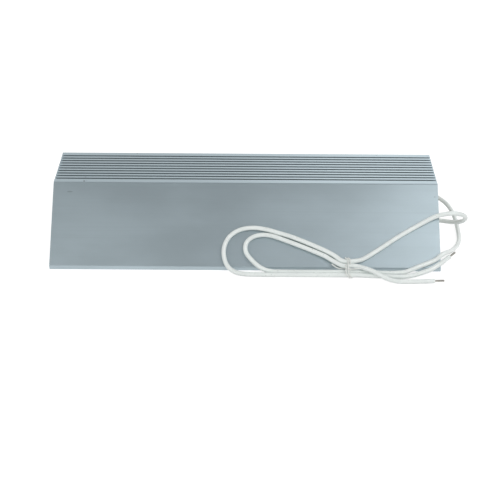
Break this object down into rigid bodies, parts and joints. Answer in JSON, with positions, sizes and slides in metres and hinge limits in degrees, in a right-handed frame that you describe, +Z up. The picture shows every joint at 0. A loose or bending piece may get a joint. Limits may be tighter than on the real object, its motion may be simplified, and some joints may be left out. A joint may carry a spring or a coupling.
{
  "type": "aluminium housed power resistor",
  "caption": "Ribbed trapezoid aluminium extrusion potted round wire-wound elements, with white insulated leads from its end, folded back and tied along its foot.",
  "frame": {"origin": "middle of the housing's base, in the plane it stands on", "axes": "+X along the housing to the end that the leads leave, -Y the front, where the leads lie, +Z up"},
  "size_m": [0.3781, 0.1922, 0.056],
  "materials": {
    "housing": "satin, clear anodised, with fine lines along the extrusion",
    "filling": "set sand and cement",
    "board": "pressed insulating board",
    "seal": "poured, matt",
    "core": "unglazed",
    "ribbon": "oxidised resistance ribbon",
    "terminal": "pressed",
    "conductor": "tinned copper",
    "sleeve": "matt",
    "lead": "soft sheen, white",
    "tie": "smooth, white"
  },
  "bodies": {
    "root": {"housing": "housing", "filling": "filling", "end_board_left": "board", "end_board_right": "board", "end_seal_left": "seal", "end_seal_right": "seal", "core_front": "core", "core_rear": "core", "winding_front": "ribbon", "winding_rear": "ribbon", "core_support_left": "core", "core_support_right": "core", "band_front_left": "terminal", "band_front_right": "terminal", "band_rear_left": "terminal", "band_rear_right": "terminal", "link_strap": "terminal", "crimp_front": "conductor", "crimp_rear": "conductor", "conductor_front": "conductor", "conductor_rear": "conductor", "lead_sleeve_front": "sleeve", "lead_sleeve_rear": "sleeve", "lead_front": "lead", "lead_rear": "lead", "lead_tip_front": "conductor", "lead_tip_rear": "conductor", "bundle_tie": "tie"}
  },
  "joints": []
}
